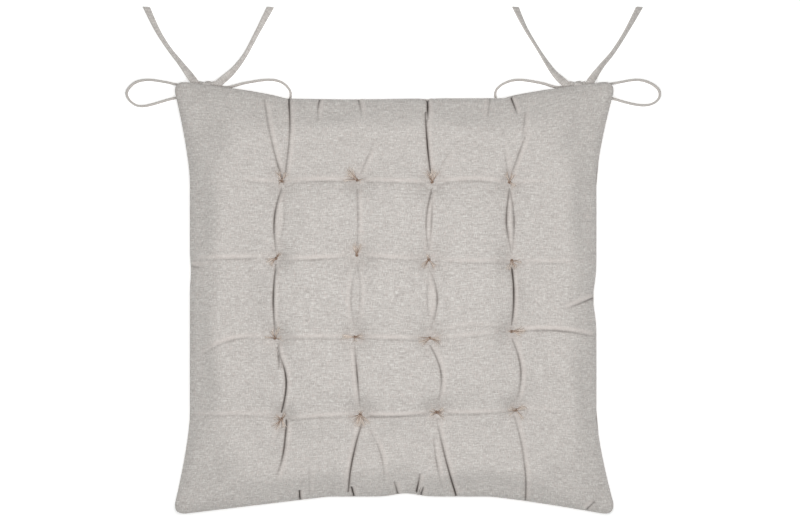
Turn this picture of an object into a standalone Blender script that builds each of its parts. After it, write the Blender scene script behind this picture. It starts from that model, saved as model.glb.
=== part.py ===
"""Tufted chair seat pad, 40 by 40 cm, with a bow of fabric tape at each back corner.

Two fabric panels are sewn together round a fibre filling, and sixteen hand-tied threads pull the
two faces together. A tape is sewn into the back seam near each corner and tied in a bow, which
swings about that seam.

Metres, +Z up, +Y towards the back of the chair. The origin is under the middle of the pad, on the
surface that the pad lies on. Lists of tufts and tape routes are in millimetres.
"""

import math

import bmesh
import bpy
from mathutils import Vector

MM = 0.001

# Outline: a square whose corners stand out as small round ears and whose sides are drawn in.
HALF_X = 0.200
HALF_Y = 0.197
INSET_X = 0.015  # how far the middle of the left and right sides is drawn in
INSET_Y = 0.0155  # the same for the back and front sides
INSET_POWER = 2.7
EAR_START = 0.957  # share of the half side beyond which the side is at its full width
CORNER_RADIUS = 0.009

# Heights
SEAM_HEIGHT = 0.020
CROWN_HEIGHT = 0.051
TOP_EDGE_WIDTH = 0.055  # how far in from the seam the top reaches its full height
BOTTOM_EDGE_WIDTH = 0.075
BOTTOM_FULLNESS = 1.12  # over 1, so that the underside lies flat on the surface under it
EDGE_RISE = 0.0014  # half the opening between the panels' folded edges
GAP = 0.0003

# Tufts, back row first and left to right. They are tied by hand, so the rows wander a little.
TUFTS = (
    ((-102, 106), (-34, 107), (34, 105), (104, 105)),
    ((-107, 36), (-34, 39), (31, 35), (106, 34)),
    ((-108, -36), (-36, -35), (32, -36), (106, -30)),
    ((-102, -109), (-31, -105), (38, -103), (110, -101)),
)
TUFT_PITCH = 0.070
TOP_WELL = 0.015
TOP_WELL_RADIUS = 0.031
TOP_CREASE = 0.004
CREASE_RADIUS = 0.020
BOTTOM_WELL = 0.009
BOTTOM_WELL_RADIUS = 0.0235
THREAD_RADIUS = 0.0011
KNOT_RADIUS = 0.0034
TUFT_SIDES = 6

# Panels: the grid lines of a half side as shares of it. The last line is the turned-in allowance.
PANEL_LINES = (0, 0.0875, 0.175, 0.2625, 0.35, 0.4375, 0.525, 0.65, 0.79, 0.90, 0.957, 1.0, 1.03)
ALLOWANCE_LINE = 0.96
ALLOWANCE_CORNER = 0.93
PANEL_THICKNESS = 0.0008
FILLING_LINES = PANEL_LINES[:10]
FILLING_CLEARANCE = 0.0022
SEAM_LINE = 0.977  # where the stitches run, inside the folded edge
STITCH_RADIUS = 0.00025
CLOSING_START = -0.35  # the filling opening in the front seam, as shares of the half side
CLOSING_END = 0.35

# Ties
TAPE_WIDTH = 0.007
TAPE_THICKNESS = 0.0017
ANCHOR_THICKNESS = 0.0010
ROUTE_STEP = 0.007
KNOT_AXES = (0.0065, 0.0036, 0.0050)
KNOT_HEIGHT = 0.011
TIES = {"left": (-0.1717, 0.194), "right": (0.1672, 0.194)}

# Each route point is x, y, z and the tape's lean: 90 stands on its edge, 0 lies flat.
TAPE_ROUTES = {
    "left_tie_outer_loop": (
        (-179, 195, 8, 90), (-196, 195, 8, 90), (-211, 198, 6.5, 90), (-227, 200, 5, 90),
        (-239, 197, 4, 90), (-246, 188, 4, 90), (-241, 179, 4, 90), (-230, 176, 4, 90),
        (-207, 182, 4.5, 90), (-187, 187, 7, 90), (-179, 191, 8, 90),
    ),
    "left_tie_inner_loop": (
        (-164, 195, 8, 90), (-153, 193, 8, 90), (-137, 197, 7, 90), (-117, 200, 5, 90),
        (-104, 198, 4, 90), (-96, 190, 4, 90), (-97, 181, 4, 90), (-107, 177, 4, 90),
        (-127, 180, 4, 90), (-146, 186, 6, 90), (-164, 191, 8, 90),
    ),
    "left_tie_outer_tail": (
        (-180, 194, 13, 0), (-184, 199, 13, 0), (-190, 207, 9.5, 38), (-197, 216, 6.5, 58),
        (-208, 230, 4, 68), (-218, 246, 4, 60), (-228, 267, 3.5, 40),
    ),
    "left_tie_inner_tail": (
        (-164, 194, 13, 0), (-160, 197, 13, 0), (-151, 205, 9.5, 40), (-144, 213, 7, 60),
        (-136, 225, 4.5, 72), (-125, 246, 4, 65), (-114, 267, 3.5, 40),
    ),
    "right_tie_inner_loop": (
        (160, 195, 8, 90), (149, 193, 8, 90), (134, 197, 7, 90), (114, 200, 5, 90),
        (101, 197, 4, 90), (93, 190, 4, 90), (94, 181, 4, 90), (103, 177, 4, 90),
        (122, 180, 4, 90), (141, 186, 6, 90), (160, 191, 8, 90),
    ),
    "right_tie_outer_loop": (
        (175, 195, 8, 90), (185, 194, 8, 90), (203, 197, 7, 90), (222, 200, 5, 90),
        (235, 197, 4, 90), (243, 190, 4, 90), (242, 182, 4, 90), (233, 177, 4, 90),
        (218, 178, 4, 90), (193, 185, 6, 90), (175, 191, 8, 90),
    ),
    "right_tie_inner_tail": (
        (159, 194, 13, 0), (155, 197, 13, 0), (147, 205, 9.5, 40), (140, 215, 7, 60),
        (132, 228, 4.5, 72), (120, 248, 4, 65), (111, 267, 3.5, 40),
    ),
    "right_tie_outer_tail": (
        (176, 194, 13, 0), (180, 199, 13, 0), (185, 206, 9.5, 40), (191, 214, 7, 60),
        (201, 226, 4.5, 68), (213, 245, 4, 65), (225, 267, 3.5, 40),
    ),
}


def srgb(hex_colour):
    """A colour such as "c9c4c0" as Blender's linear red, green, blue and alpha."""
    channels = [int(hex_colour[i : i + 2], 16) / 255 for i in (0, 2, 4)]
    linear = [c / 12.92 if c <= 0.04045 else ((c + 0.055) / 1.055) ** 2.4 for c in channels]
    return (*linear, 1.0)


def make_material(name, hex_colour, roughness):
    material = bpy.data.materials.new(name)
    material.use_nodes = True
    shader = material.node_tree.nodes["Principled BSDF"]
    shader.inputs["Base Color"].default_value = srgb(hex_colour)
    shader.inputs["Roughness"].default_value = roughness
    shader.inputs["Metallic"].default_value = 0.0
    return material


def new_collection(name):
    collection = bpy.data.collections.new(name)
    bpy.context.scene.collection.children.link(collection)
    return collection


def place(obj, name, collection, material=None):
    """Names an object and moves it into its collection, with its material."""
    for old in list(obj.users_collection):
        old.objects.unlink(obj)
    collection.objects.link(obj)
    obj.name = name
    obj.data.name = name
    if material:
        obj.data.materials.clear()
        obj.data.materials.append(material)
    return obj


# --- the pad's surfaces ---


def side_inset(share):
    """How much of its full inset a side has at this share of its half length."""
    return 1 - min(1.0, abs(share) / EAR_START) ** INSET_POWER


def round_corner(x, y):
    """Pulls the corner of the square in to an arc."""
    over_x = max(0.0, abs(x) - (HALF_X - CORNER_RADIUS))
    over_y = max(0.0, abs(y) - (HALF_Y - CORNER_RADIUS))
    if over_x == 0 or over_y == 0:
        return x, y
    shrink = 1 - max(over_x, over_y) / math.hypot(over_x, over_y)
    return x - math.copysign(over_x * shrink, x), y - math.copysign(over_y * shrink, y)


def tuft_position(row, column):
    x, y = TUFTS[row][column]
    return x * MM, y * MM


def tuft_shift(x, y):
    """How far the cloth is pulled sideways here, with the tufts' own wander at each tuft."""
    shift_x = shift_y = 0.0
    for row in range(4):
        for column in range(4):
            nominal_x = (column - 1.5) * TUFT_PITCH
            nominal_y = (1.5 - row) * TUFT_PITCH
            near_x = max(0.0, 1 - abs(x - nominal_x) / TUFT_PITCH)
            near_y = max(0.0, 1 - abs(y - nominal_y) / TUFT_PITCH)
            tuft_x, tuft_y = tuft_position(row, column)
            shift_x += near_x * near_y * (tuft_x - nominal_x)
            shift_y += near_x * near_y * (tuft_y - nominal_y)
    return shift_x, shift_y


def outside_tufts(share):
    """From 0 at the outer line of tufts to 1 at the seam."""
    outer_tufts = 1.5 * TUFT_PITCH / HALF_X
    return max(0.0, abs(share) - outer_tufts) / (1 - outer_tufts)


def plan_point(u, v):
    """The plan position of a panel point, from its shares of the half sides."""
    drawn_in_x = INSET_X * side_inset(v) * outside_tufts(u)
    drawn_in_y = (HALF_X - HALF_Y + INSET_Y * side_inset(u)) * outside_tufts(v)
    x = u * HALF_X - math.copysign(drawn_in_x, u)
    y = v * HALF_X - math.copysign(drawn_in_y, v)
    x, y = round_corner(x, y)
    shift_x, shift_y = tuft_shift(u * HALF_X, v * HALF_X)
    return x + shift_x, y + shift_y


def fullness(u, v, width):
    """From 0 at the seam to 1 where the pad has its full height, thin at the corners."""
    full = 1.0
    for share in (u, v):
        inside = min(1.0, (1 - min(1.0, abs(share))) * HALF_X / width)
        full *= math.sqrt(1 - (1 - inside) ** 2)
    return full


def well(x, y, depth, radius):
    """How far the tufts pull the surface in at this point."""
    pulled = 0.0
    for row in range(4):
        for column in range(4):
            tuft_x, tuft_y = tuft_position(row, column)
            ratio = math.hypot(x - tuft_x, y - tuft_y) / radius
            if ratio < 1:
                pulled = max(pulled, depth * (1 - ratio**2) ** 2)
    return pulled


def crease(u, v):
    """The shallow creases that run along the rows and columns of tufts."""
    if max(abs(u), abs(v)) > 0.8:
        return 0.0
    deepest = 0.0
    for share in (u, v):
        for line in (-0.525, -0.175, 0.175, 0.525):
            ratio = abs(share - line) * HALF_X / CREASE_RADIUS
            if ratio < 1:
                deepest = max(deepest, 1 - ratio**2)
    return TOP_CREASE * deepest


def top_height(u, v, x, y):
    rise = CROWN_HEIGHT - SEAM_HEIGHT - EDGE_RISE
    pulled = max(well(x, y, TOP_WELL, TOP_WELL_RADIUS), crease(u, v))
    return SEAM_HEIGHT + EDGE_RISE + rise * fullness(u, v, TOP_EDGE_WIDTH) - pulled


def bottom_height(u, v, x, y):
    drop = (SEAM_HEIGHT - EDGE_RISE) * BOTTOM_FULLNESS * fullness(u, v, BOTTOM_EDGE_WIDTH)
    return max(0.0, SEAM_HEIGHT - EDGE_RISE - drop) + well(x, y, BOTTOM_WELL, BOTTOM_WELL_RADIUS)


def line_grid(name, lines):
    """A square grid whose lines lie at these shares of the half side, with each point's shares."""
    cells = 2 * (len(lines) - 1)
    bpy.ops.mesh.primitive_grid_add(x_subdivisions=cells, y_subdivisions=cells, size=2)
    grid = bpy.context.object
    grid.name = name
    middle = len(lines) - 1
    shares = []
    for vertex in grid.data.vertices:
        pair = []
        for position in vertex.co.xy:
            step = round((position + 1) * middle) - middle
            pair.append(math.copysign(lines[abs(step)], step))
        shares.append(pair)
    return grid, shares


def panel(name, height, upside, collection, material, cutter):
    """A fabric panel: its face, the fold at the seam and the allowance that is turned in."""
    grid, shares = line_grid(name, PANEL_LINES)
    for vertex, (u, v) in zip(grid.data.vertices, shares):
        if max(abs(u), abs(v)) > 1:
            at_corner = min(abs(u), abs(v)) > 1
            turned_in = (ALLOWANCE_CORNER if at_corner else ALLOWANCE_LINE) / PANEL_LINES[-1]
            x, y = plan_point(u * turned_in, v * turned_in)
            z = SEAM_HEIGHT + upside * GAP / 2
        else:
            x, y = plan_point(u, v)
            z = height(u, v, x, y)
        vertex.co = (x, y, z)
    mesh = bmesh.new()
    mesh.from_mesh(grid.data)
    bmesh.ops.triangulate(mesh, faces=mesh.faces, quad_method="SHORT_EDGE")
    if upside < 0:
        bmesh.ops.reverse_faces(mesh, faces=mesh.faces)
    mesh.to_mesh(grid.data)
    mesh.free()
    grid.data.shade_smooth()
    place(grid, name, collection, material)
    cloth = grid.modifiers.new("cloth_thickness", "SOLIDIFY")
    cloth.thickness = PANEL_THICKNESS
    cloth.offset = -1
    cut_with(grid, cutter)
    return grid


def filling(name, collection, material, cutter):
    """The block of fibre inside the panels, clear of them all round."""
    grid, shares = line_grid(name, FILLING_LINES)
    mesh = bmesh.new()
    mesh.from_mesh(grid.data)
    mesh.verts.ensure_lookup_table()
    tops = []
    bottoms = []
    for vertex, (u, v) in zip(mesh.verts, shares):
        x, y = plan_point(u, v)
        tops.append(Vector((x, y, top_height(u, v, x, y) - FILLING_CLEARANCE)))
        bottoms.append(Vector((x, y, bottom_height(u, v, x, y) + FILLING_CLEARANCE)))
    count = len(tops)
    bmesh.ops.solidify(mesh, geom=mesh.faces[:], thickness=0.01)
    mesh.verts.ensure_lookup_table()
    order = sorted(range(len(mesh.verts)), key=lambda i: (mesh.verts[i].co.z, i))
    lower, upper = order[:count], order[count:]
    plan = {(round(u, 4), round(v, 4)): i for i, (u, v) in enumerate(shares)}
    middle = len(FILLING_LINES) - 1
    for indices, places in ((lower, bottoms), (upper, tops)):
        for i in indices:
            pair = []
            for position in mesh.verts[i].co.xy:
                step = round((position + 1) * middle) - middle
                pair.append(round(math.copysign(FILLING_LINES[abs(step)], step), 4))
            mesh.verts[i].co = places[plan[tuple(pair)]]
    bmesh.ops.triangulate(mesh, faces=mesh.faces, quad_method="SHORT_EDGE")
    bmesh.ops.recalc_face_normals(mesh, faces=mesh.faces)
    mesh.to_mesh(grid.data)
    mesh.free()
    grid.data.shade_smooth()
    place(grid, name, collection, material)
    cut_with(grid, cutter)
    return grid


# --- thread, tufts and tape ---


def cut_with(obj, cutter):
    cut = obj.modifiers.new("thread_holes", "BOOLEAN")
    cut.operation = "DIFFERENCE"
    cut.solver = "EXACT"
    cut.object = cutter


def thread_holes(name, collection):
    """One cutter for the holes that all the tufting threads pass through."""
    mesh = bmesh.new()
    for row in range(4):
        for column in range(4):
            made = bmesh.ops.create_cone(
                mesh,
                cap_ends=True,
                segments=TUFT_SIDES,
                radius1=THREAD_RADIUS + GAP,
                radius2=THREAD_RADIUS + GAP,
                depth=2 * CROWN_HEIGHT,
            )
            x, y = tuft_position(row, column)
            bmesh.ops.translate(mesh, verts=made["verts"], vec=(x, y, CROWN_HEIGHT / 2))
    data = bpy.data.meshes.new(name)
    mesh.to_mesh(data)
    mesh.free()
    cutter = bpy.data.objects.new(name, data)
    place(cutter, name, collection)
    cutter.hide_render = True
    cutter.display_type = "WIRE"
    return cutter


def tuft(name, row, column, collection, material):
    """A tufting thread: a knot on top, the thread through the filling and a knot underneath."""
    x, y = tuft_position(row, column)
    top = CROWN_HEIGHT - TOP_WELL
    bottom = BOTTOM_WELL
    profile = (
        (0, top + 0.0062),
        (KNOT_RADIUS * 0.75, top + 0.0056),
        (KNOT_RADIUS, top + 0.0040),
        (THREAD_RADIUS, top + 0.0016),
        (THREAD_RADIUS, bottom - 0.0014),
        (KNOT_RADIUS * 0.8, bottom - 0.0032),
        (0, bottom - 0.0046),
    )
    data = bpy.data.meshes.new(name)
    points = [(radius, 0, height) for radius, height in profile]
    data.from_pydata(points, [(i, i + 1) for i in range(len(points) - 1)], [])
    obj = bpy.data.objects.new(name, data)
    place(obj, name, collection, material)
    obj.location = (x, y, 0)
    turn = obj.modifiers.new("turned", "SCREW")
    turn.steps = TUFT_SIDES
    turn.render_steps = TUFT_SIDES
    turn.use_merge_vertices = True
    turn.merge_threshold = 0.00001
    turn.use_smooth_shade = True
    return obj


def curve_object(name, points, leans, collection, material):
    """A curve through these points, which a thread or a tape is swept along."""
    curve = bpy.data.curves.new(name, "CURVE")
    curve.dimensions = "3D"
    curve.twist_mode = "Z_UP"
    curve.use_fill_caps = True
    spline = curve.splines.new("POLY")
    spline.points.add(len(points) - 1)
    for spline_point, place_at, lean in zip(spline.points, points, leans):
        spline_point.co = (*place_at, 1)
        spline_point.tilt = lean
    obj = bpy.data.objects.new(name, curve)
    place(obj, name, collection, material)
    return obj


def stitching(name, shares, collection, material):
    """A thread along the seam, between the two allowances, through these outline shares."""
    points = []
    for u, v in shares:
        x, y = plan_point(u * SEAM_LINE, v * SEAM_LINE)
        points.append((x, y, SEAM_HEIGHT))
    obj = curve_object(name, points, [0] * len(points), collection, material)
    obj.data.bevel_depth = STITCH_RADIUS
    obj.data.bevel_resolution = 0
    return obj


def seam_shares():
    """The outline's shares, round from the front opening's right end to its left end."""
    lines = [line for line in PANEL_LINES if line <= 1]
    side = [-line for line in reversed(lines[1:])] + list(lines)
    front_right = [(line, -1) for line in side if line > CLOSING_END]
    right = [(1, line) for line in side[1:]]
    back = [(-line, 1) for line in side[1:]]
    left = [(-1, -line) for line in side[1:]]
    front_left = [(line, -1) for line in side[1:] if line < CLOSING_START]
    return [(CLOSING_END + 0.004, -1)] + front_right + right + back + left + front_left + [
        (CLOSING_START - 0.004, -1)
    ]


def smooth_route(route, step):
    """Even steps along a smooth curve through the route's points, with the lean at each."""
    points = [Vector(point) for point in route]
    dense = []
    for i in range(len(points) - 1):
        before = points[max(i - 1, 0)]
        start, end = points[i], points[i + 1]
        after = points[min(i + 2, len(points) - 1)]
        for k in range(20):
            t = k / 20
            dense.append(
                0.5
                * (
                    2 * start
                    + (end - before) * t
                    + (2 * before - 5 * start + 4 * end - after) * t**2
                    + (3 * start - before - 3 * end + after) * t**3
                )
            )
    dense.append(points[-1])
    lengths = [0.0]
    for a, b in zip(dense, dense[1:]):
        lengths.append(lengths[-1] + (b.xyz - a.xyz).length * MM)
    count = max(2, round(lengths[-1] / step))
    places = []
    leans = []
    j = 0
    for i in range(count + 1):
        target = lengths[-1] * i / count
        while j < len(dense) - 2 and lengths[j + 1] < target:
            j += 1
        part = (target - lengths[j]) / (lengths[j + 1] - lengths[j])
        found = dense[j].lerp(dense[j + 1], min(1.0, part))
        places.append(tuple(found.xyz * MM))
        leans.append(math.radians(90 - found.w))
    return places, leans


def tape(name, route, thickness, collection, material):
    """A stretch of flat tape, standing on its edge where it leans 90 degrees."""
    places, leans = smooth_route(route, ROUTE_STEP)
    obj = curve_object(name, places, leans, collection, material)
    obj.data.bevel_depth = thickness / 2
    obj.data.bevel_resolution = 0
    obj.data.extrude = (TAPE_WIDTH - thickness) / 2
    return obj


def tie_anchor(name, x, collection, material):
    """The end of the tape that is sewn into the seam and turns down over the edge to the knot."""
    u = x / HALF_X
    edge = plan_point(u, 1)[1] / MM
    knot_top = (KNOT_HEIGHT + KNOT_AXES[2]) / MM
    across = x / MM
    seam = SEAM_HEIGHT / MM
    route = (
        (across, edge - 3.4, seam, 0),
        (across, edge - 0.4, seam, 0),
        (across, edge + 1.3, seam - 0.5, 0),
        (across, edge + 2.0, seam - 2.0, 0),
        (across, edge + 1.8, knot_top + 0.5, 0),
    )
    places, leans = smooth_route(route, 0.0014)
    obj = curve_object(name, places, leans, collection, material)
    obj.data.bevel_depth = ANCHOR_THICKNESS / 2
    obj.data.bevel_resolution = 0
    obj.data.extrude = (TAPE_WIDTH - ANCHOR_THICKNESS) / 2
    return obj


def tie_knot(name, x, y, collection, material):
    """The bow's knot, as the plain rounded lump that its turns of tape make."""
    bpy.ops.mesh.primitive_uv_sphere_add(segments=12, ring_count=7, radius=1)
    obj = bpy.context.object
    for vertex in obj.data.vertices:
        vertex.co = [value * half for value, half in zip(vertex.co, KNOT_AXES)]
    obj.location = (x, y, KNOT_HEIGHT)
    obj.data.shade_smooth()
    return place(obj, name, collection, material)


def parent_keeping_place(child, parent):
    child.parent = parent
    child.matrix_parent_inverse = parent.matrix_world.inverted()


def build():
    for old in list(bpy.data.objects):
        bpy.data.objects.remove(old, do_unlink=True)
    parts = new_collection("chair_seat_pad")
    cutters = new_collection("cutters")

    cover_cloth = make_material("woven_cover_fabric", "c9c4c0", 0.9)
    fibre = make_material("polyester_fibre", "f0efec", 0.95)
    knot_thread = make_material("tan_tufting_thread", "8f7259", 0.8)
    sewing_thread = make_material("sewing_thread", "c2bcb6", 0.7)
    tape_cloth = make_material("folded_fabric_tape", "bcb6b2", 0.9)

    holes = thread_holes("thread_hole_cutter", cutters)
    panel("top_cover", top_height, 1, parts, cover_cloth, holes)
    panel("bottom_cover", bottom_height, -1, parts, cover_cloth, holes)
    filling("fibre_filling", parts, fibre, holes)

    stitching("seam_stitching", seam_shares(), parts, sewing_thread)
    opening = [(CLOSING_START, -1), (-0.175, -1), (0, -1), (0.175, -1), (CLOSING_END, -1)]
    stitching("closing_stitching", opening, parts, sewing_thread)

    for row in range(4):
        for column in range(4):
            tuft(f"tuft_{row + 1}_{column + 1}", row, column, parts, knot_thread)

    for side, (x, y) in TIES.items():
        pivot = bpy.data.objects.new(f"{side}_tie_pivot", None)
        parts.objects.link(pivot)
        pivot.location = (x, y, SEAM_HEIGHT)
        bpy.context.view_layer.update()
        tie_anchor(f"{side}_tie_anchor", x, parts, tape_cloth)
        moving = [tie_knot(f"{side}_tie_knot", x, y, parts, tape_cloth)]
        for name, route in TAPE_ROUTES.items():
            if name.startswith(side):
                moving.append(tape(name, route, TAPE_THICKNESS, parts, tape_cloth))
        for obj in moving:
            parent_keeping_place(obj, pivot)


build()
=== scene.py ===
"""The looks of a tufted chair seat pad: simulated cloth panels, hand-tied tufts and fabric bows."""

import math
import random

import bpy
import numpy as np
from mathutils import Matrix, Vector
from mathutils.bvhtree import BVHTree


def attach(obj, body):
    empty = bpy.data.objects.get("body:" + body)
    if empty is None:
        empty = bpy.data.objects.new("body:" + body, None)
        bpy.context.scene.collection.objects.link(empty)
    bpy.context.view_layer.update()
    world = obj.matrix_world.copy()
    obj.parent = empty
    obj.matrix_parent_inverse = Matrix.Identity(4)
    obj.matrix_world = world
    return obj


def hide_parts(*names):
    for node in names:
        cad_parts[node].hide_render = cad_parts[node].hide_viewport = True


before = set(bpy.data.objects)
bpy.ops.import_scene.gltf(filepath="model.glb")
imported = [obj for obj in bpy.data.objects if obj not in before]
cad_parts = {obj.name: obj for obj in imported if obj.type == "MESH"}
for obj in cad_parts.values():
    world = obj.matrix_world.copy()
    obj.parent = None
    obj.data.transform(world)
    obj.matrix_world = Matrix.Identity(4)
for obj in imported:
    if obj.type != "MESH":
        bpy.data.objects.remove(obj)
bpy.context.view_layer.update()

bl_info = {
    "name": "Tufted Seat Pad",
    "version": (1, 0, 0),
    "blender": (4, 5, 0),
    "location": "View3D > Sidebar > Seat Pad",
    "description": "Builds a tufted chair seat pad with fabric bows round its CAD frame",
    "category": "Add Mesh",
}

MM = 0.001
HALF_SIDE = 200.0  # mm, middle of the pad to a corner tip
HALF_DEPTH = 197.0
SEAM_HEIGHT = 20.0
TUFT_PITCH = 70.0
TOP_WELL_FLOOR = 36.0
BOTTOM_WELL_FLOOR = 9.0

# Tufts in mm, back row first and left to right, as the CAD places them.
TUFTS = (
    ((-102, 106), (-34, 107), (34, 105), (104, 105)),
    ((-107, 36), (-34, 39), (31, 35), (106, 34)),
    ((-108, -36), (-36, -35), (32, -36), (106, -30)),
    ((-102, -109), (-31, -105), (38, -103), (110, -101)),
)

# How each side of the seam is drawn in, in mm: its distance from the middle of the pad along its
# flat stretch and at the corners; where it starts to run out to the low and to the high corner and
# how bent that run is (1 is straight); and its puckers, each a place, a depth and a half width.
LEFT_SEAM = (186.5, 200.0, (105, 1.4), (105, 1.4), ((24, 1, 10),))
RIGHT_SEAM = (184.0, 199.5, (105, 1.4), (105, 1.4), ((0, 3, 16),))
BACK_SEAM = (182.0, 196.8, (100, 0.75), (100, 0.75), ((-40, 1, 50), (30, 1, 5)))
FRONT_SEAM = (181.0, 196.5, (60, 1.0), (85, 1.2), ((10, 3, 14),))
CORNER_RADIUS = 7.0

# The cover's panels
TOP_CELLS = 200
BOTTOM_CELLS = 80
TOP_EDGE_WIDTH = 55.0  # mm in from the seam where the top has its full height
BOTTOM_EDGE_WIDTH = 75.0
TOP_WELL_RADIUS = 13.0
BOTTOM_WELL_RADIUS = 12.0
CLOTH_THICKNESS = 0.6
# How each panel fills: frames of simulation, the farthest that the cloth may move in mm, and
# rounds of smoothing afterwards.
TOP_FILLING = (18, 12, 24)
BOTTOM_FILLING = (16, 8, 3)

# Painted shade in the cloth's folds, a painted highlight on their lips, and the colour of pale frayed
# flecks
FOLD_CORE_PAINTED_SHADE = "3e3631"
FOLD_PAINTED_SHADE = "8f7d76"
LIP_PAINTED_HIGHLIGHT = "ddd3ce"
PALE_FLECK = "e9e7e2"

# How a fold is pressed in, in mm: the groove's half width, then how far from the groove its lip
# stands and the cloth beyond its other side sinks, each with a half width.
GROOVE_WIDTH = 1.15
LIP_PLACE, LIP_WIDTH = 2.9, 1.8
SINK_PLACE, SINK_WIDTH = -2.4, 2.2
FOLD_REACH = 3.4  # mm from a fold's line where the painted shade kept for the material ends
DISTANCE_SCALE = 8.0  # mm for each 1 in the distance that the mesh keeps for the material

# Folds from a tuft to the one in front of it, by row and column of the first: the side that the
# lip of cloth stands up on (1 right, -1 left), how far the fold bows to the right in mm, and how
# deep it is and how dark its painted shade is at its start, middle and end.
COLUMN_FOLDS = {
    (0, 0): ((1, -4, (0.4, 0.8, 0.3)), (-1, 5, (0.1, 0.25, 0.1))),
    (0, 1): ((1, 1, (0.3, 0.35, 0.2)),),
    (0, 2): ((1, -4, (0.6, 0.5, 0.2)), (-1, 1, (0.05, 0.45, 0.1))),
    (0, 3): ((1, -4, (0.5, 0.75, 0.2)), (-1, 3, (0.3, 0.6, 0.15))),
    (1, 0): ((1, -2, (0.6, 0.85, 0.4)), (-1, 4, (0.1, 0.15, 0.1))),
    (1, 1): ((1, 4, (0.2, 0.25, 0.05)), (-1, -4, (0.1, 0.3, 0.1))),
    (1, 2): ((1, -2, (0.1, 0.3, 0.05)), (-1, 7, (0.1, 0.6, 0.05))),
    (1, 3): ((1, 2, (0.9, 0.9, 0.6)),),
    (2, 0): ((1, 7, (0.1, 0.95, 0.8)),),
    (2, 1): ((-1, 0, (0.2, 0.75, 0.2)),),
    (2, 2): ((1, 7, (0.4, 0.6, 0.05)),),
    (2, 3): ((1, 6, (0.4, 0.6, 0.15)),),
}

# Folds from a tuft to its neighbour on the right: how far the fold bows to the back, and depths and
# painted darkness.
ROW_FOLDS = {
    (0, 0): (1, (0.1, 0.35, 0.2)),
    (0, 1): (0, (0.2, 0.28, 0.25)),
    (0, 2): (3, (0.2, 0.3, 0.2)),
    (1, 0): (-1, (0.1, 0.35, 0.1)),
    (1, 1): (0, (0.2, 0.25, 0.1)),
    (1, 2): (-1, (0.1, 0.25, 0.15)),
    (2, 0): (1, (0.1, 0.25, 0.1)),
    (2, 1): (0, (0.15, 0.3, 0.15)),
    (2, 2): (0, (0.1, 0.2, 0.05)),
    (3, 0): (1, (0.15, 0.28, 0.2)),
    (3, 1): (-1, (0.4, 0.4, 0.2)),
    (3, 2): (-1, (0.25, 0.3, 0.1)),
}

# Folds that run out from the outer tufts or start at the seam: the lip's side (1 left, -1 right of
# the course), the two ends in mm, how far the fold bows to the left of its course, and depths and
# painted darkness.
OUTER_FOLDS = (
    # from the back row of tufts to the back seam
    (-1, (-102, 108), (-118, 180), 1, (0.6, 0.4, 0.35)),
    (-1, (-99, 111), (-96, 182), -3, (0.5, 0.5, 0.95)),
    (-1, (-31, 112), (-18, 142), 0, (0.2, 0.3, 0.05)),
    (-1, (33, 110), (28, 168), 1, (0.7, 0.95, 0.6)),
    (-1, (30, 160), (30, 184), 0, (0.2, 1, 1)),
    (-1, (38, 111), (56, 140), 1, (0.1, 0.2, 0.05)),
    (-1, (103, 107), (98, 138), 0, (0.3, 0.25, 0.1)),
    (-1, (104, 108), (121, 156), 0, (0.3, 0.45, 0.05)),
    (-1, (115, 145), (119, 177), 0, (0.15, 0.35, 0.05)),
    # from the front row of tufts to the front seam
    (1, (-98, -110), (-108, -165), 3, (0.8, 0.8, 0.1)),
    (-1, (-102, -116), (-109, -134), 0, (0.25, 0.2, 0.05)),
    (-1, (-29, -111), (-42, -176), -2, (0.5, 0.85, 0.7)),
    (1, (-25, -114), (-9, -172), 5, (0.1, 0.35, 0.05)),
    (1, (38, -109), (56, -180), -1, (0.2, 0.7, 1)),
    (1, (35, -126), (43, -171), -1, (0.2, 0.45, 0.05)),
    (1, (108, -106), (119, -184), 3, (0.3, 0.45, 0.7)),
    # from the outer columns to the left and right sides
    (1, (-139, 106), (-106, 104), -1, (0.05, 0.25, 0.1)),
    (1, (108, 103), (140, 103), 0, (0.1, 0.15, 0.05)),
    (1, (-182, 34), (-112, 36), 0, (0.1, 0.33, 0.1)),
    (1, (115, 32), (167, 32), -1, (0.1, 0.25, 0.05)),
    (1, (-185, 29), (-163, 31), -2, (0.4, 0.2, 0.05)),
    (1, (-176, -53), (-114, -37), 7, (0.1, 0.33, 0.1)),
    (1, (113, -30), (182, -35), 3, (0.25, 0.5, 0.25)),
    (1, (41, -31), (100, -28), 4, (0.1, 0.15, 0.1)),
    (1, (154, -10), (181, 0), 0, (0.15, 0.45, 0.65)),
    (1, (-185, -108), (-108, -108), 2, (0.1, 0.2, 0.15)),
    (1, (114, -102), (149, -103), 0, (0.1, 0.12, 0.05)),
    # beside the outer column
    (1, (-106, -41), (-104, -63), 0, (0.5, 0.65, 0.3)),
    # short puckers at the seam
    (1, (-68, 182), (-69, 159), -1, (0.75, 0.4, 0.05)),
    (1, (-33, 182), (-29, 163), 0, (0.65, 0.35, 0.05)),
    (-1, (87, 182), (83, 159), 0, (0.35, 0.25, 0.05)),
    (1, (106, 182), (111, 166), 0, (0.9, 0.7, 0.2)),
    (1, (-86, -174), (-86, -183), 0, (0.85, 0.9, 1)),
    (1, (-77, -153), (-77, -177), 0, (0.1, 0.2, 0.2)),
    (1, (-39, -171), (-37, -180), 0, (0.9, 1, 1)),
    (1, (0, -166), (3, -179), 0, (0.4, 0.6, 0.8)),
    (1, (23, -158), (20, -176), 0, (0.3, 0.7, 1)),
    (1, (26, -171), (24, -179), 0, (0.5, 0.7, 0.9)),
    (1, (175, -192), (182, -185), 0, (0.6, 0.5, 0.4)),
)
TUFT_REACH = 6.0  # how far from a tuft's middle the folds between the tufts start
ROW_DROP = 2.0  # the folds of a row pass this far in front of the tufts' middles

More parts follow.
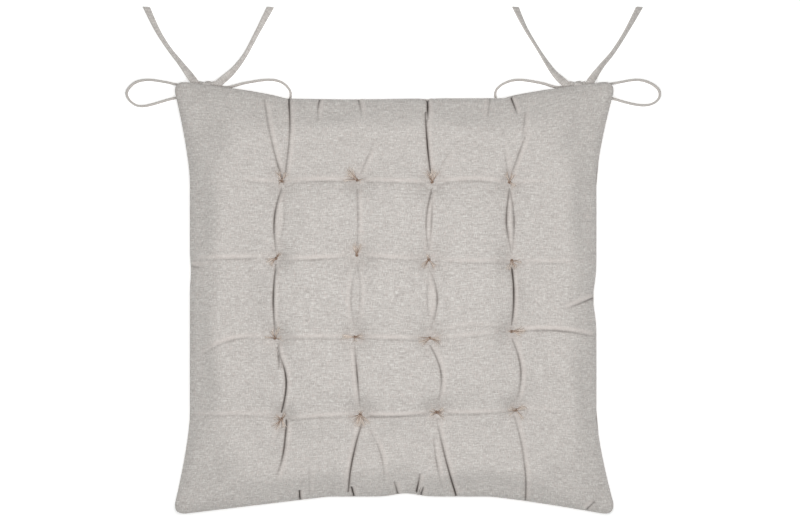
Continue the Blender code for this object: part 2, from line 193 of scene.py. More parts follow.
# The frayed ends of each tuft: direction in degrees, length in mm, spread in degrees, fibres.
TUFT_ENDS = (
    (
        ((107, 9, 14, 9), (63, 8, 14, 8), (200, 3, 40, 4), (-30, 3, 40, 4)),
        ((142, 12, 36, 18), (112, 8, 20, 6), (-20, 4, 20, 4)),
        ((105, 10, 24, 14), (76, 10, 24, 14)),
        ((112, 8, 12, 8), (66, 7, 14, 8), (-40, 6, 24, 8)),
    ),
    (
        ((195, 8, 24, 9), (228, 7, 16, 7), (50, 6, 24, 8)),
        ((100, 9, 22, 11), (78, 9, 20, 11)),
        ((228, 8, 16, 10), (312, 8, 16, 10), (92, 4, 40, 7)),
        ((250, 8, 16, 9), (295, 7, 14, 9), (-10, 8, 16, 6)),
    ),
    (
        ((112, 7, 12, 8), (66, 9, 12, 9), (2, 7, 18, 4), (180, 8, 18, 4)),
        ((182, 10, 22, 11), (8, 8, 22, 9), (-70, 4, 30, 5)),
        ((195, 9, 28, 13), (-8, 9, 28, 12)),
        ((4, 11, 20, 14), (-18, 8, 20, 7), (160, 3, 30, 4)),
    ),
    (
        ((165, 6, 24, 6), (235, 9, 22, 10), (50, 6, 24, 7), (-70, 8, 18, 7)),
        ((-90, 10, 62, 34), (90, 3, 60, 6)),
        ((5, 6, 34, 9), (180, 6, 34, 9), (-30, 9, 18, 4)),
        ((180, 7, 26, 9), (24, 8, 24, 10), (-52, 9, 18, 7)),
    ),
)

# Tape routes in mm, as the CAD lays them: x, y, z and the lean, 90 on its edge and 0 flat.
TAPE_ROUTES = {
    "left_tie_outer_loop": (
        (-179, 195, 8, 90), (-196, 195, 8, 90), (-211, 198, 6.5, 90), (-227, 200, 5, 90),
        (-239, 197, 4, 90), (-246, 188, 4, 90), (-241, 179, 4, 90), (-230, 176, 4, 90),
        (-207, 182, 4.5, 90), (-187, 187, 7, 90), (-179, 191, 8, 90),
    ),
    "left_tie_inner_loop": (
        (-164, 195, 8, 90), (-153, 193, 8, 90), (-137, 197, 7, 90), (-117, 200, 5, 90),
        (-104, 198, 4, 90), (-96, 190, 4, 90), (-97, 181, 4, 90), (-107, 177, 4, 90),
        (-127, 180, 4, 90), (-146, 186, 6, 90), (-164, 191, 8, 90),
    ),
    "left_tie_outer_tail": (
        (-180, 194, 13, 0), (-184, 199, 13, 0), (-190, 207, 9.5, 38), (-197, 216, 6.5, 58),
        (-208, 230, 4, 68), (-218, 246, 4, 60), (-228, 267, 3.5, 40),
    ),
    "left_tie_inner_tail": (
        (-164, 194, 13, 0), (-160, 197, 13, 0), (-151, 205, 9.5, 40), (-144, 213, 7, 60),
        (-136, 225, 4.5, 72), (-125, 246, 4, 65), (-114, 267, 3.5, 40),
    ),
    "right_tie_inner_loop": (
        (160, 195, 8, 90), (149, 193, 8, 90), (134, 197, 7, 90), (114, 200, 5, 90),
        (101, 197, 4, 90), (93, 190, 4, 90), (94, 181, 4, 90), (103, 177, 4, 90),
        (122, 180, 4, 90), (141, 186, 6, 90), (160, 191, 8, 90),
    ),
    "right_tie_outer_loop": (
        (175, 195, 8, 90), (185, 194, 8, 90), (203, 197, 7, 90), (222, 200, 5, 90),
        (235, 197, 4, 90), (243, 190, 4, 90), (242, 182, 4, 90), (233, 177, 4, 90),
        (218, 178, 4, 90), (193, 185, 6, 90), (175, 191, 8, 90),
    ),
    "right_tie_inner_tail": (
        (159, 194, 13, 0), (155, 197, 13, 0), (147, 205, 9.5, 40), (140, 215, 7, 60),
        (132, 228, 4.5, 72), (120, 248, 4, 65), (111, 267, 3.5, 40),
    ),
    "right_tie_outer_tail": (
        (176, 194, 13, 0), (180, 199, 13, 0), (185, 206, 9.5, 40), (191, 214, 7, 60),
        (201, 226, 4.5, 68), (213, 245, 4, 65), (225, 267, 3.5, 40),
    ),
}
TAIL_CUT_REACH = 6.0  # mm before a tail's end where the tape starts to slant to its cut
KNOTS = {"left": (-171.7, 194.2, 11.5), "right": (167.2, 194.2, 11.5)}


# --- materials ---


def linear(hex_colour):
    """An sRGB hex colour as Blender's linear red, green and blue."""
    channels = [int(hex_colour[i : i + 2], 16) / 255 for i in (0, 2, 4)]
    return tuple(c / 12.92 if c <= 0.04045 else ((c + 0.055) / 1.055) ** 2.4 for c in channels)


def add_node(tree, kind, values=(), links=(), **settings):
    """Adds a node, sets its settings and its input values, and links sockets into its inputs."""
    node = tree.nodes.new(kind)
    for name, value in settings.items():
        setattr(node, name, value)
    for key, value in dict(values).items():
        node.inputs[key].default_value = value
    for key, socket in dict(links).items():
        tree.links.new(socket, node.inputs[key])
    return node


def new_material(name, roughness, sheen=0.0):
    """A material with only its Principled shader, which the pattern's nodes then feed."""
    material = bpy.data.materials.new(name)
    material.use_nodes = True
    tree = material.node_tree
    shader = tree.nodes["Principled BSDF"]
    shader.inputs["Roughness"].default_value = roughness
    shader.inputs["Sheen Weight"].default_value = sheen
    shader.inputs["Sheen Roughness"].default_value = 0.6
    shader.inputs["Specular IOR Level"].default_value = 0.25
    return material, tree, shader


def math_node(tree, operation, a, b, clamp=False):
    """a and b are sockets or numbers."""
    node = add_node(tree, "ShaderNodeMath", operation=operation, use_clamp=clamp)
    for i, value in enumerate((a, b)):
        if hasattr(value, "links"):
            tree.links.new(value, node.inputs[i])
        else:
            node.inputs[i].default_value = value
    return node.outputs[0]


def streaks(tree, coordinates, across, along, turn, detail=2.0):
    """Noise drawn out into threads: across and along are sizes in metres."""
    scale = (1 / across, 1 / along, 1.0) if turn else (1 / along, 1 / across, 1.0)
    place = add_node(
        tree, "ShaderNodeMapping", {"Scale": scale}, {"Vector": coordinates}
    )
    noise = add_node(
        tree,
        "ShaderNodeTexNoise",
        {"Scale": 1.0, "Detail": detail, "Roughness": 0.6},
        {"Vector": place.outputs[0]},
        noise_dimensions="2D",
    )
    return noise.outputs["Fac"]


def remapped(tree, value, low, high, to_low=0.0, to_high=1.0):
    """The value moved from one range to another and kept inside it."""
    limits = {"From Min": low, "From Max": high, "To Min": to_low, "To Max": to_high}
    return add_node(tree, "ShaderNodeMapRange", limits, {"Value": value}).outputs[0]


def mixed(tree, share, first, second):
    """A mix of two colours, each a socket or plain red, green and blue."""
    values, links = {}, {0: share}
    for key, colour in ((6, first), (7, second)):
        if hasattr(colour, "links"):
            links[key] = colour
        else:
            values[key] = (*colour, 1)
    node = add_node(tree, "ShaderNodeMix", values, links, data_type="RGBA")
    return node.outputs[2]


def woven_cotton_linen(name, pale, deep, warm):
    """Yarn-dyed cotton and linen in a plain weave: matt, with pale slubs along both threads."""
    material, tree, shader = new_material(name, 0.92, sheen=0.1)
    cloth = add_node(tree, "ShaderNodeUVMap", uv_map="cloth").outputs[0]
    # Real threads lie about 0.5 mm apart. These are 0.7 to 0.9 mm wide, so that the weave shows.
    weft = streaks(tree, cloth, 0.0007, 0.0050, False)
    warp = streaks(tree, cloth, 0.0008, 0.0036, True)
    slub = streaks(tree, cloth, 0.0018, 0.0130, False, detail=1.0)
    cloudy = streaks(tree, cloth, 0.010, 0.014, True, detail=1.0)
    threads = math_node(tree, "ADD", weft, math_node(tree, "MULTIPLY", warp, 0.9))
    threads = math_node(tree, "ADD", threads, math_node(tree, "MULTIPLY", slub, 0.5))
    threads = math_node(tree, "ADD", threads, math_node(tree, "MULTIPLY", cloudy, 0.15))
    tone = remapped(tree, threads, 0.83, 1.72)
    body = mixed(tree, tone, deep, pale)
    # The two yarns are not quite one colour, which gives single threads a pink or a green cast.
    yarn = remapped(tree, streaks(tree, cloth, 0.0014, 0.0060, True), 0.56, 0.72, 0.0, 0.4)
    body = mixed(tree, yarn, body, warm)
    # Pale unspun fibre shows as short flecks along single threads.
    nubs = math_node(
        tree,
        "MAXIMUM",
        streaks(tree, cloth, 0.0009, 0.0050, False, detail=0.0),
        streaks(tree, cloth, 0.0009, 0.0030, True, detail=0.0),
    )
    body = mixed(tree, remapped(tree, nubs, 0.66, 0.82, 0.0, 0.42), body, linear(PALE_FLECK))
    # The folds' painted shade and their lips' painted highlight, from the values that the mesh keeps.
    folds_and_painted_shade = add_node(tree, "ShaderNodeAttribute", attribute_name="folds_and_painted_shade").outputs["Color"]
    dark, distance, lip = add_node(tree, "ShaderNodeSeparateColor", links={0: folds_and_painted_shade}).outputs
    dark = math_node(tree, "POWER", dark, 1.4)
    # Painted highlight: the lip of cloth beside a fold is painted paler.
    body = mixed(tree, math_node(tree, "MULTIPLY", lip, 0.7), body, linear(LIP_PAINTED_HIGHLIGHT))
    # The dark core of a fold's painted shade fades out 1.2 mm either side of its line, the brown
    # painted shade round it at 2.9.
    offset = math_node(tree, "ABSOLUTE", math_node(tree, "SUBTRACT", distance, 0.5), 0)
    core = remapped(tree, offset, 0.03, 0.15, 1.0, 0.0)
    shade = remapped(tree, offset, 0.05, 0.36, 1.0, 0.0)
    soft = math_node(tree, "MULTIPLY", math_node(tree, "MULTIPLY", shade, dark), 0.35)
    body = mixed(tree, soft, body, linear(FOLD_PAINTED_SHADE))
    deep_core = math_node(tree, "MULTIPLY", math_node(tree, "MULTIPLY", core, dark), 1.1)
    body = mixed(tree, math_node(tree, "MINIMUM", deep_core, 1.0), body, linear(FOLD_CORE_PAINTED_SHADE))
    tree.links.new(body, shader.inputs["Base Color"])
    bump = add_node(
        tree,
        "ShaderNodeBump",
        {"Strength": 0.3, "Distance": 0.0003},
        {"Height": threads},
    )
    tree.links.new(bump.outputs[0], shader.inputs["Normal"])
    return material


def twisted_cotton_thread(name, pale, deep):
    """Plied cotton thread: tan and twisted tight at the knot, paler where the ends fray."""
    material, tree, shader = new_material(name, 0.85, sheen=0.2)
    along = add_node(tree, "ShaderNodeUVMap", uv_map="cloth").outputs[0]
    along, own_shade, _ = add_node(tree, "ShaderNodeSeparateXYZ", links={0: along}).outputs
    frayed = remapped(tree, along, 0.0, 0.0008)
    frayed = math_node(tree, "ADD", frayed, remapped(tree, own_shade, 0.0, 0.001, -0.5, 0.4))
    place = add_node(tree, "ShaderNodeTexCoord").outputs["Object"]
    noise = add_node(
        tree,
        "ShaderNodeTexNoise",
        {"Scale": 700.0, "Detail": 2.0},
        {"Vector": place},
    ).outputs["Fac"]
    noise = remapped(tree, noise, 0.3, 0.7, -0.2, 0.2)
    share = math_node(tree, "ADD", frayed, noise, clamp=True)
    tree.links.new(mixed(tree, share, deep, pale), shader.inputs["Base Color"])
    return material


def lofted_fibre(name, pale, deep):
    """Carded polyester fibre: white, with a fine matted grain."""
    material, tree, shader = new_material(name, 0.95)
    place = add_node(tree, "ShaderNodeTexCoord").outputs["Object"]
    grain = {"Scale": 400.0, "Detail": 5.0, "Distortion": 1.5}
    noise = add_node(tree, "ShaderNodeTexNoise", grain, {"Vector": place}).outputs["Fac"]
    tree.links.new(mixed(tree, noise, deep, pale), shader.inputs["Base Color"])
    return material


def matt_paper(name, colour, glow):
    """Seamless background paper: white, matt and evenly lit, with no mark on it."""
    material, tree, shader = new_material(name, 0.9)
    place = add_node(tree, "ShaderNodeTexCoord").outputs["Object"]
    noise = add_node(tree, "ShaderNodeTexNoise", {"Scale": 30.0}, {"Vector": place}).outputs["Fac"]
    shade = mixed(tree, noise, [c * 0.99 for c in colour], colour)
    tree.links.new(shade, shader.inputs["Base Color"])
    shader.inputs["Emission Color"].default_value = (1, 1, 1, 1)
    shader.inputs["Emission Strength"].default_value = glow
    return material


# --- shared mesh work ---


def catmull_rom(points, steps=24):
    """A dense smooth curve through the points, one row each, with any number of columns."""
    points = np.asarray(points, float)
    padded = np.vstack([points[:1], points, points[-1:]])
    t = np.linspace(0, 1, steps, endpoint=False)[:, None]
    rows = []
    for a, b, c, d in zip(padded, padded[1:], padded[2:], padded[3:]):
        rows.append(
            0.5
            * (
                2 * b
                + (c - a) * t
                + (2 * a - 5 * b + 4 * c - d) * t**2
                + (3 * b - a - 3 * c + d) * t**3
            )
        )
    return np.vstack(rows + [points[-1:]])


def even_steps(points, step):
    """The same curve in even steps of its length in x, y and z."""
    dense = catmull_rom(points)
    lengths = np.r_[0, np.cumsum(np.linalg.norm(np.diff(dense[:, :3], axis=0), axis=1))]
    count = max(2, round(lengths[-1] / step))
    at = np.linspace(0, lengths[-1], count + 1)
    return np.stack([np.interp(at, lengths, column) for column in dense.T], axis=1)


def mesh_object(name, verts, faces, material, uvs=None):
    """A mesh object from points in millimetres, with a cloth map in metres if there is one."""
    mesh = bpy.data.meshes.new(name)
    mesh.from_pydata((np.asarray(verts) * MM).tolist(), [], faces)
    mesh.validate()
    if uvs is not None:
        layer = mesh.uv_layers.new(name="cloth")
        corner = np.empty(len(mesh.loops), int)
        mesh.loops.foreach_get("vertex_index", corner)
        layer.data.foreach_set("uv", (np.asarray(uvs)[corner] * MM).ravel())
    mesh.shade_smooth()
    mesh.materials.append(material)
    obj = bpy.data.objects.new(name, mesh)
    bpy.context.scene.collection.objects.link(obj)
    return obj


def coordinates(mesh):
    found = np.empty(len(mesh.vertices) * 3)
    mesh.vertices.foreach_get("co", found)
    return found.reshape(-1, 3)


def set_coordinates(mesh, places):
    mesh.vertices.foreach_set("co", np.ascontiguousarray(places, float).ravel())
    mesh.update()


def sweep(centres, widths, sections, closed_ends=True):
    """Points and faces of a section carried along a line.

    widths holds the sideways direction at each centre, and sections the section's points as
    distances along the sideways and the outward direction.
    """
    tangents = np.gradient(centres, axis=0)
    tangents /= np.linalg.norm(tangents, axis=1)[:, None]
    widths = widths - tangents * (widths * tangents).sum(1)[:, None]
    widths /= np.linalg.norm(widths, axis=1)[:, None]
    outs = np.cross(tangents, widths)
    if sections.ndim == 2:
        sections = np.repeat(sections[None], len(centres), axis=0)
    points = (
        centres[:, None]
        + widths[:, None] * sections[:, :, :1]
        + outs[:, None] * sections[:, :, 1:]
    )
    around = sections.shape[1]
    faces = []
    for i in range(len(centres) - 1):
        for j in range(around):
            k = (j + 1) % around
            faces.append((i * around + j, i * around + k, (i + 1) * around + k, (i + 1) * around + j))
    if closed_ends:
        last = (len(centres) - 1) * around
        faces.append(tuple(range(around - 1, -1, -1)))
        faces.append(tuple(last + j for j in range(around)))
    return points.reshape(-1, 3), faces


class Parts:
    """Gathers several swept shapes into one mesh."""

    def __init__(self):
        self.verts = []
        self.faces = []
        self.count = 0

    def add(self, verts, faces):
        self.verts.append(verts)
        self.faces += [tuple(i + self.count for i in face) for face in faces]
        self.count += len(verts)

    def object(self, name, material, uvs=None):
        return mesh_object(name, np.vstack(self.verts), self.faces, material, uvs)


def strand(points, radius_start, radius_end, sides=6):
    """A round thread through the points, tapering from one radius to the other."""
    centres = even_steps(points, 0.7)
    angles = np.linspace(0, 2 * math.pi, sides, endpoint=False)
    circle = np.stack([np.cos(angles), np.sin(angles)], axis=1)
    radii = np.linspace(radius_start, radius_end, len(centres))
    tangent = centres[-1] - centres[0]
    mostly_level = abs(tangent[2]) < 0.8 * np.linalg.norm(tangent)
    side = np.cross(tangent, (0, 0, 1.0) if mostly_level else (1.0, 0, 0))
    widths = np.repeat(side[None], len(centres), axis=0)
    return sweep(centres, widths, circle[None] * radii[:, None, None])


# --- the pad ---


def side_distance(seam, along, half):
    """How far out the seam lies at these places along a side."""
    flat, corner, low_run, high_run, puckers = seam
    distance = np.full_like(along, flat)
    for direction, (start, bend) in ((-1, low_run), (1, high_run)):
        share = np.clip((direction * along - start) / (half - 10 - start), 0, 1)
        distance += (corner - flat) * share**bend
    for place, depth, half_width in puckers:
        distance -= depth * np.exp(-(((along - place) / half_width) ** 2))
    return distance


def plan(u, v):
    """Where points of a flat square of cloth lie in plan, from their shares of the half side."""
    x = u * HALF_SIDE
    y = v * HALF_SIDE
    outer_tufts = 1.5 * TUFT_PITCH / HALF_SIDE
    near_side = np.clip((np.abs(u) - outer_tufts) / (1 - outer_tufts), 0, 1)
    near_end = np.clip((np.abs(v) - outer_tufts) / (1 - outer_tufts), 0, 1)
    along_y = v * HALF_DEPTH
    along_x = u * HALF_SIDE
    side = np.where(
        u > 0,
        side_distance(RIGHT_SEAM, along_y, HALF_DEPTH),
        side_distance(LEFT_SEAM, along_y, HALF_DEPTH),
    )
    end = np.where(
        v > 0,
        side_distance(BACK_SEAM, along_x, HALF_SIDE),
        side_distance(FRONT_SEAM, along_x, HALF_SIDE),
    )
    x = x + np.sign(u) * near_side * (side - HALF_SIDE)
    y = y + np.sign(v) * near_end * (end - HALF_SIDE)
    over_x = np.maximum(0, np.abs(x) - (HALF_SIDE - CORNER_RADIUS))
    over_y = np.maximum(0, np.abs(y) - (HALF_DEPTH - CORNER_RADIUS))
    distance = np.maximum(np.hypot(over_x, over_y), 1e-9)
    shrink = np.where((over_x > 0) & (over_y > 0), 1 - np.maximum(over_x, over_y) / distance, 0)
    x = x - np.sign(x) * over_x * shrink
    y = y - np.sign(y) * over_y * shrink
    shift_x = np.zeros_like(x)
    shift_y = np.zeros_like(y)
    for row in range(4):
        for column in range(4):
            nominal_x = (column - 1.5) * TUFT_PITCH
            nominal_y = (1.5 - row) * TUFT_PITCH
            away = (u * HALF_SIDE - nominal_x) ** 2 + (v * HALF_SIDE - nominal_y) ** 2
            near = np.exp(-away / 28**2)
            shift_x += near * (TUFTS[row][column][0] - nominal_x)
            shift_y += near * (TUFTS[row][column][1] - nominal_y)
    return x + shift_x, y + shift_y


def fullness(u, v, width):
    """From 0 at the seam to 1 where the pad has its full height, thin at the corners."""
    full = np.ones_like(u)
    for share in (u, v):
        inside = np.clip((1 - np.abs(share)) * HALF_SIDE / width, 0, 1)
        full *= np.sqrt(1 - (1 - inside) ** 2)
    return full


def tuft_pull(x, y, radius):
    """From 1 at a tuft to 0 away from all of them."""
    pull = np.zeros_like(x)
    for row in TUFTS:
        for tuft_x, tuft_y in row:
            pull = np.maximum(pull, np.exp(-((x - tuft_x) ** 2 + (y - tuft_y) ** 2) / radius**2))
    return pull


def cloth_panel(name, cells, height, upside, material):
    """A panel of cloth as a grid, already roughly in the shape that the filling gives it."""
    line = np.linspace(-1, 1, cells + 1)
    u, v = [grid.ravel() for grid in np.meshgrid(line, line)]
    x, y = plan(u, v)
    verts = np.stack([x, y, height(u, v, x, y)], axis=1)
    faces = []
    for i in range(cells):
        for j in range(cells):
            a = i * (cells + 1) + j
            face = (a, a + 1, a + cells + 2, a + cells + 1)
            faces.append(face if upside > 0 else face[::-1])
    uvs = np.stack([u, v], axis=1) * HALF_SIDE
    obj = mesh_object(name, verts, faces, material, uvs)
    seam = np.flatnonzero(np.maximum(np.abs(u), np.abs(v)) > 1 - 1e-6)
    tied = []
    for row in range(4):
        for column in range(4):
            tuft_x, tuft_y = TUFTS[row][column]
            tied.append(int(np.argmin((x - tuft_x) ** 2 + (y - tuft_y) ** 2)))
    pins = obj.vertex_groups.new(name="sewn_or_tied")
    pins.add([int(i) for i in seam] + tied, 1.0, "REPLACE")
    return obj


def fill_panel(obj, pressure, slack, frames, cap, smoothing):
    """Lets the filling push the panel out between its seam and its tufts, by cloth simulation."""
    start = coordinates(obj.data)
    cloth = obj.modifiers.new("filled", "CLOTH")
    settings = cloth.settings
    settings.quality = 5
    settings.mass = 0.2
    settings.tension_stiffness = 40
    settings.compression_stiffness = 20
    settings.shear_stiffness = 10
    settings.bending_stiffness = 0.4
    settings.tension_damping = 10
    settings.compression_damping = 10
    settings.shear_damping = 5
    settings.air_damping = 3
    settings.vertex_group_mass = "sewn_or_tied"
    settings.shrink_min = -slack
    settings.use_pressure = True
    settings.uniform_pressure_force = pressure
    settings.effector_weights.gravity = 0
    cloth.collision_settings.use_collision = False
    scene = bpy.context.scene
    cloth.point_cache.frame_start = 1
    cloth.point_cache.frame_end = frames
    for step in range(1, frames + 1):
        scene.frame_set(step)
    evaluated = obj.evaluated_get(bpy.context.evaluated_depsgraph_get())
    moved = coordinates(evaluated.data) - start
    far = np.linalg.norm(moved, axis=1)
    moved *= np.minimum(1, cap * MM / np.maximum(far, 1e-9))[:, None]
    side = round(math.sqrt(len(moved)))
    field = moved.reshape(side, side, 3)
    for _ in range(smoothing):
        for axis in (0, 1):
            field = (np.roll(field, 1, axis) + 2 * field + np.roll(field, -1, axis)) / 4
        field[0] = field[-1] = field[:, 0] = field[:, -1] = 0
    moved = field.reshape(-1, 3)
    obj.modifiers.remove(cloth)
    set_coordinates(obj.data, start + moved)
    scene.frame_set(1)


def subdivided(obj):
    """The same object with a finer mesh."""
    finer = obj.modifiers.new("finer", "SUBSURF")
    finer.levels = 1
    finer.render_levels = 1
    finer.boundary_smooth = "PRESERVE_CORNERS"
    evaluated = obj.evaluated_get(bpy.context.evaluated_depsgraph_get())
    mesh = bpy.data.meshes.new_from_object(evaluated)
    obj.modifiers.clear()
    old = obj.data
    obj.data = mesh
    bpy.data.meshes.remove(old)
    return obj


def distance_to_line(x, y, line):
    """Distance from each point to a bent line, positive on its left, and how far along it is."""
    nearest = np.full(x.shape, 1e9)
    signed = np.zeros_like(x)
    along = np.zeros_like(x)
    count = len(line) - 1
    for i, ((x0, y0), (x1, y1)) in enumerate(zip(line, line[1:])):
        dx, dy = x1 - x0, y1 - y0
        t = np.clip(((x - x0) * dx + (y - y0) * dy) / (dx * dx + dy * dy), 0, 1)
        d = np.hypot(x - x0 - t * dx, y - y0 - t * dy)
        closer = d < nearest
        nearest = np.where(closer, d, nearest)
        signed = np.where(closer, np.sign(dx * (y - y0) - dy * (x - x0)) * d, signed)
        along = np.where(closer, (i + t) / count, along)
    return signed, along


def bowed_fold(start, end, bow, depths):
    """The course of a fold between two places, bowed to its left, with its depth at each point."""
    (x0, y0), (x1, y1) = start, end
    length = math.hypot(x1 - x0, y1 - y0)
    across = (-(y1 - y0) / length, (x1 - x0) / length)
    points = []
    for step in range(7):
        share = step / 6
        swell = bow * math.sin(math.pi * share)
        x = x0 + (x1 - x0) * share + across[0] * swell
        y = y0 + (y1 - y0) * share + across[1] * swell
        points.append((x, y, float(np.interp(share, (0, 0.5, 1), depths))))
    return points


def cover_folds():
    """Each chosen fold: the side of its course that the lip stands up on, and its points."""
    folds_and_painted_shade = []
    for (row, column), pair in COLUMN_FOLDS.items():
        (x0, y0), (x1, y1) = TUFTS[row][column], TUFTS[row + 1][column]
        for lip_side, bow, depths in pair:
            course = bowed_fold((x0, y0 - TUFT_REACH), (x1, y1 + TUFT_REACH), bow, depths)
            folds_and_painted_shade.append((lip_side, course))
    for (row, column), (bow, depths) in ROW_FOLDS.items():
        (x0, y0), (x1, y1) = TUFTS[row][column], TUFTS[row][column + 1]
        start, end = (x0 + TUFT_REACH, y0 - ROW_DROP), (x1 - TUFT_REACH, y1 - ROW_DROP)
        folds_and_painted_shade.append((1, bowed_fold(start, end, bow, depths)))
    for lip_side, start, end, bow, depths in OUTER_FOLDS:
        folds_and_painted_shade.append((lip_side, bowed_fold(start, end, bow, depths)))
    return folds_and_painted_shade


def tuft_gathers(seed):
    """Short creases that run out from each tuft, where the thread draws the cloth together, each with
    a faint painted shade.
    """
    rng = random.Random(seed)
    gathers = []
    for row in TUFTS:
        for x, y in row:
            for start in range(0, 360, 60):
                angle = math.radians(start + rng.uniform(-18, 18))
                bend = rng.uniform(-0.12, 0.12)
                dark = rng.uniform(0.05, 0.2)
                points = []
                for reach, share in ((1.0, 1.0), (rng.uniform(3, 5), 0.7), (rng.uniform(6, 10), 0.1)):
                    turned = angle + bend * reach / 5
                    place = (x + reach * math.cos(turned), y + reach * math.sin(turned))
                    points.append((*place, dark * share))
                gathers.append((rng.choice((1, -1)), points))
    return gathers


def press_creases(obj, creases, strength):
    """Presses the folds into the panel: a sharp line with a lip of cloth standing up beside it.

    The mesh keeps three things for the material: how dark the nearest fold's painted shade is, the
    distance to its line, and how strong the painted highlight on a lip is.
    """
    mesh = obj.data
    places = coordinates(mesh) / MM
    x, y = places[:, 0], places[:, 1]
    normals = np.empty(len(mesh.vertices) * 3)
    mesh.vertex_normals.foreach_get("vector", normals)
    normals = normals.reshape(-1, 3)
    offset = np.zeros(len(x))
    folds_and_painted_shade = np.zeros((len(x), 4))
    folds_and_painted_shade[:, 1] = 0.5
    nearest = np.full(len(x), 1e9)
    for lip_side, route in creases:
        line = catmull_rom(route, 6)
        low, high = line[:, :2].min(0) - 10, line[:, :2].max(0) + 10
        near = np.flatnonzero((x > low[0]) & (x < high[0]) & (y > low[1]) & (y < high[1]))
        signed, along = distance_to_line(x[near], y[near], line[:, :2])
        dark = np.interp(along, np.linspace(0, 1, len(line)), np.clip(line[:, 2], 0, 1))
        ends = np.clip(np.minimum(along, 1 - along) * len(route) / 0.6, 0, 1)
        d = signed * lip_side
        depth = strength * ends * (0.25 + 1.75 * dark)
        groove = np.exp(-((np.abs(d) / GROOVE_WIDTH) ** 1.4))
        lip = np.exp(-(((d - LIP_PLACE) / LIP_WIDTH) ** 2))
        under = np.exp(-(((d - SINK_PLACE) / SINK_WIDTH) ** 2))
        offset[near] += depth * (0.36 * lip - groove - 0.15 * under)
        # The painted highlight on a fold's lip is stronger where the fold runs from side to side.
        leading = np.abs(line[-1] - line[0])
        lip_share = 0.8 if leading[0] > leading[1] else 0.5
        past_end = (along <= 0) | (along >= 1)
        window = np.clip((FOLD_REACH - np.abs(d)) / 1.2, 0, 1)
        window = window * np.where(past_end & (np.abs(d) > 0.8), 0, 1)
        chosen = (np.abs(d) < nearest[near]) & (window > 0)
        wins = near[chosen]
        folds_and_painted_shade[wins, 0] = (dark * window)[chosen]
        folds_and_painted_shade[wins, 1] = np.clip(0.5 + d[chosen] / DISTANCE_SCALE, 0, 1)
        nearest[wins] = np.abs(d)[chosen]
        folds_and_painted_shade[near, 2] = np.maximum(folds_and_painted_shade[near, 2], lip_share * np.clip(3 * dark, 0, 1) * ends * lip)
    set_coordinates(mesh, (places + normals * offset[:, None]) * MM)
    kept = mesh.color_attributes.new("folds_and_painted_shade", "FLOAT_COLOR", "POINT")
    kept.data.foreach_set("color", folds_and_painted_shade.ravel())


def pucker_seam(obj, u, v, seed):
    """Small gathers where the stitches draw the cloth in along the seam."""
    rng = np.random.default_rng(seed)
    places = coordinates(obj.data) / MM
    inside = (1 - np.maximum(np.abs(u), np.abs(v))) * HALF_SIDE
    around = np.where(np.abs(u) > np.abs(v), v, u) * HALF_SIDE
    side = np.where(np.abs(u) > np.abs(v), np.sign(u), 2 * np.sign(v))
    wave = np.zeros(len(places))
    for wavelength in (7.0, 11.0, 17.0, 29.0):
        for which in (-2, -1, 1, 2):
            phase, turn = rng.uniform(0, 6.28), rng.uniform(0.7, 1.3)
            here = side == which
            wave[here] += np.sin(around[here] * 6.283 / wavelength * turn + phase) * wavelength / 29
    strength = np.exp(-inside / 7.0) * np.clip(inside / 1.5, 0, 1)
    places[:, 2] += 0.5 * wave * strength
    set_coordinates(obj.data, places * MM)


def give_thickness(obj, thickness):
    """Thickens the cloth inwards, so that its outer face stays where it is."""
    solid = obj.modifiers.new("cloth_thickness", "SOLIDIFY")
    solid.thickness = thickness * MM
    solid.offset = -1
    solid.use_even_offset = False


def grid_shares(mesh):
    """Each point's shares of the half side, from the cloth map."""
    loops = len(mesh.loops)
    corner = np.empty(loops, int)
    mesh.loops.foreach_get("vertex_index", corner)
    uv = np.empty(loops * 2)
    mesh.uv_layers["cloth"].data.foreach_get("uv", uv)
    shares = np.zeros((len(mesh.vertices), 2))
    shares[corner] = uv.reshape(-1, 2) / (HALF_SIDE * MM)
    return shares[:, 0], shares[:, 1]


def tape_section(width, thickness):
    """A folded tape: rounded edges, and a shallow dent where each edge is stitched down."""
    across = np.array([1, 0.97, 0.88, 0.74, 0.62, 0.3, 0, -0.3, -0.62, -0.74, -0.88, -0.97, -1])
    half = np.array([0, 0.6, 0.9, 0.72, 0.92, 1, 1, 1, 0.92, 0.72, 0.9, 0.6, 0])
    upper = np.stack([across * width / 2, half * thickness / 2], axis=1)
    lower = np.stack([across[-2:0:-1] * width / 2, -half[-2:0:-1] * thickness / 2], axis=1)
    return np.vstack([upper, lower])


def lean_directions(route):
    """The tape's sideways direction at each point: level when it lies flat, upright on its edge."""
    centres = route[:, :3]
    tangents = np.gradient(centres, axis=0)
    tangents /= np.linalg.norm(tangents, axis=1)[:, None]
    level = np.cross([0, 0, 1.0], tangents)
    level /= np.linalg.norm(level, axis=1)[:, None]
    upright = np.cross(tangents, level)
    lean = np.radians(route[:, 3])[:, None]
    return np.cos(lean) * level + np.sin(lean) * upright


def tape_shape(points, width, thickness, step=1.0):
    """A tape along the points, with its cloth map and the even route that it follows."""
    route = even_steps(points, step)
    section = tape_section(width, thickness)
    verts, faces = sweep(route[:, :3], lean_directions(route), section)
    across = np.tile(section[:, 0] + np.sign(section[:, 1]) * 20, len(route))
    along = np.repeat(np.arange(len(route)) * step, len(section))
    return verts, faces, np.stack([across, along], axis=1), route


def cut_level(verts, route, reach):
    """Slants the last stretch of a tape, so that its end is cut along X."""
    rings = verts.reshape(len(route), -1, 3)
    tangent = route[-1, :3] - route[-2, :3]
    tangent /= np.linalg.norm(tangent)
    lag = (route[-1, 1] - rings[-1, :, 1]) / tangent[1]
    gap = np.linalg.norm(route[:, :3] - route[-1, :3], axis=1)
    share = np.clip(1 - gap / reach, 0, 1)
    return (rings + (share[:, None] * lag)[:, :, None] * tangent).reshape(-1, 3)


# --- settings, operators and panel ---


def colour_setting(name, description, hex_colour):
    return bpy.props.FloatVectorProperty(
        name=name, description=description, default=linear(hex_colour), subtype="COLOR"
    )


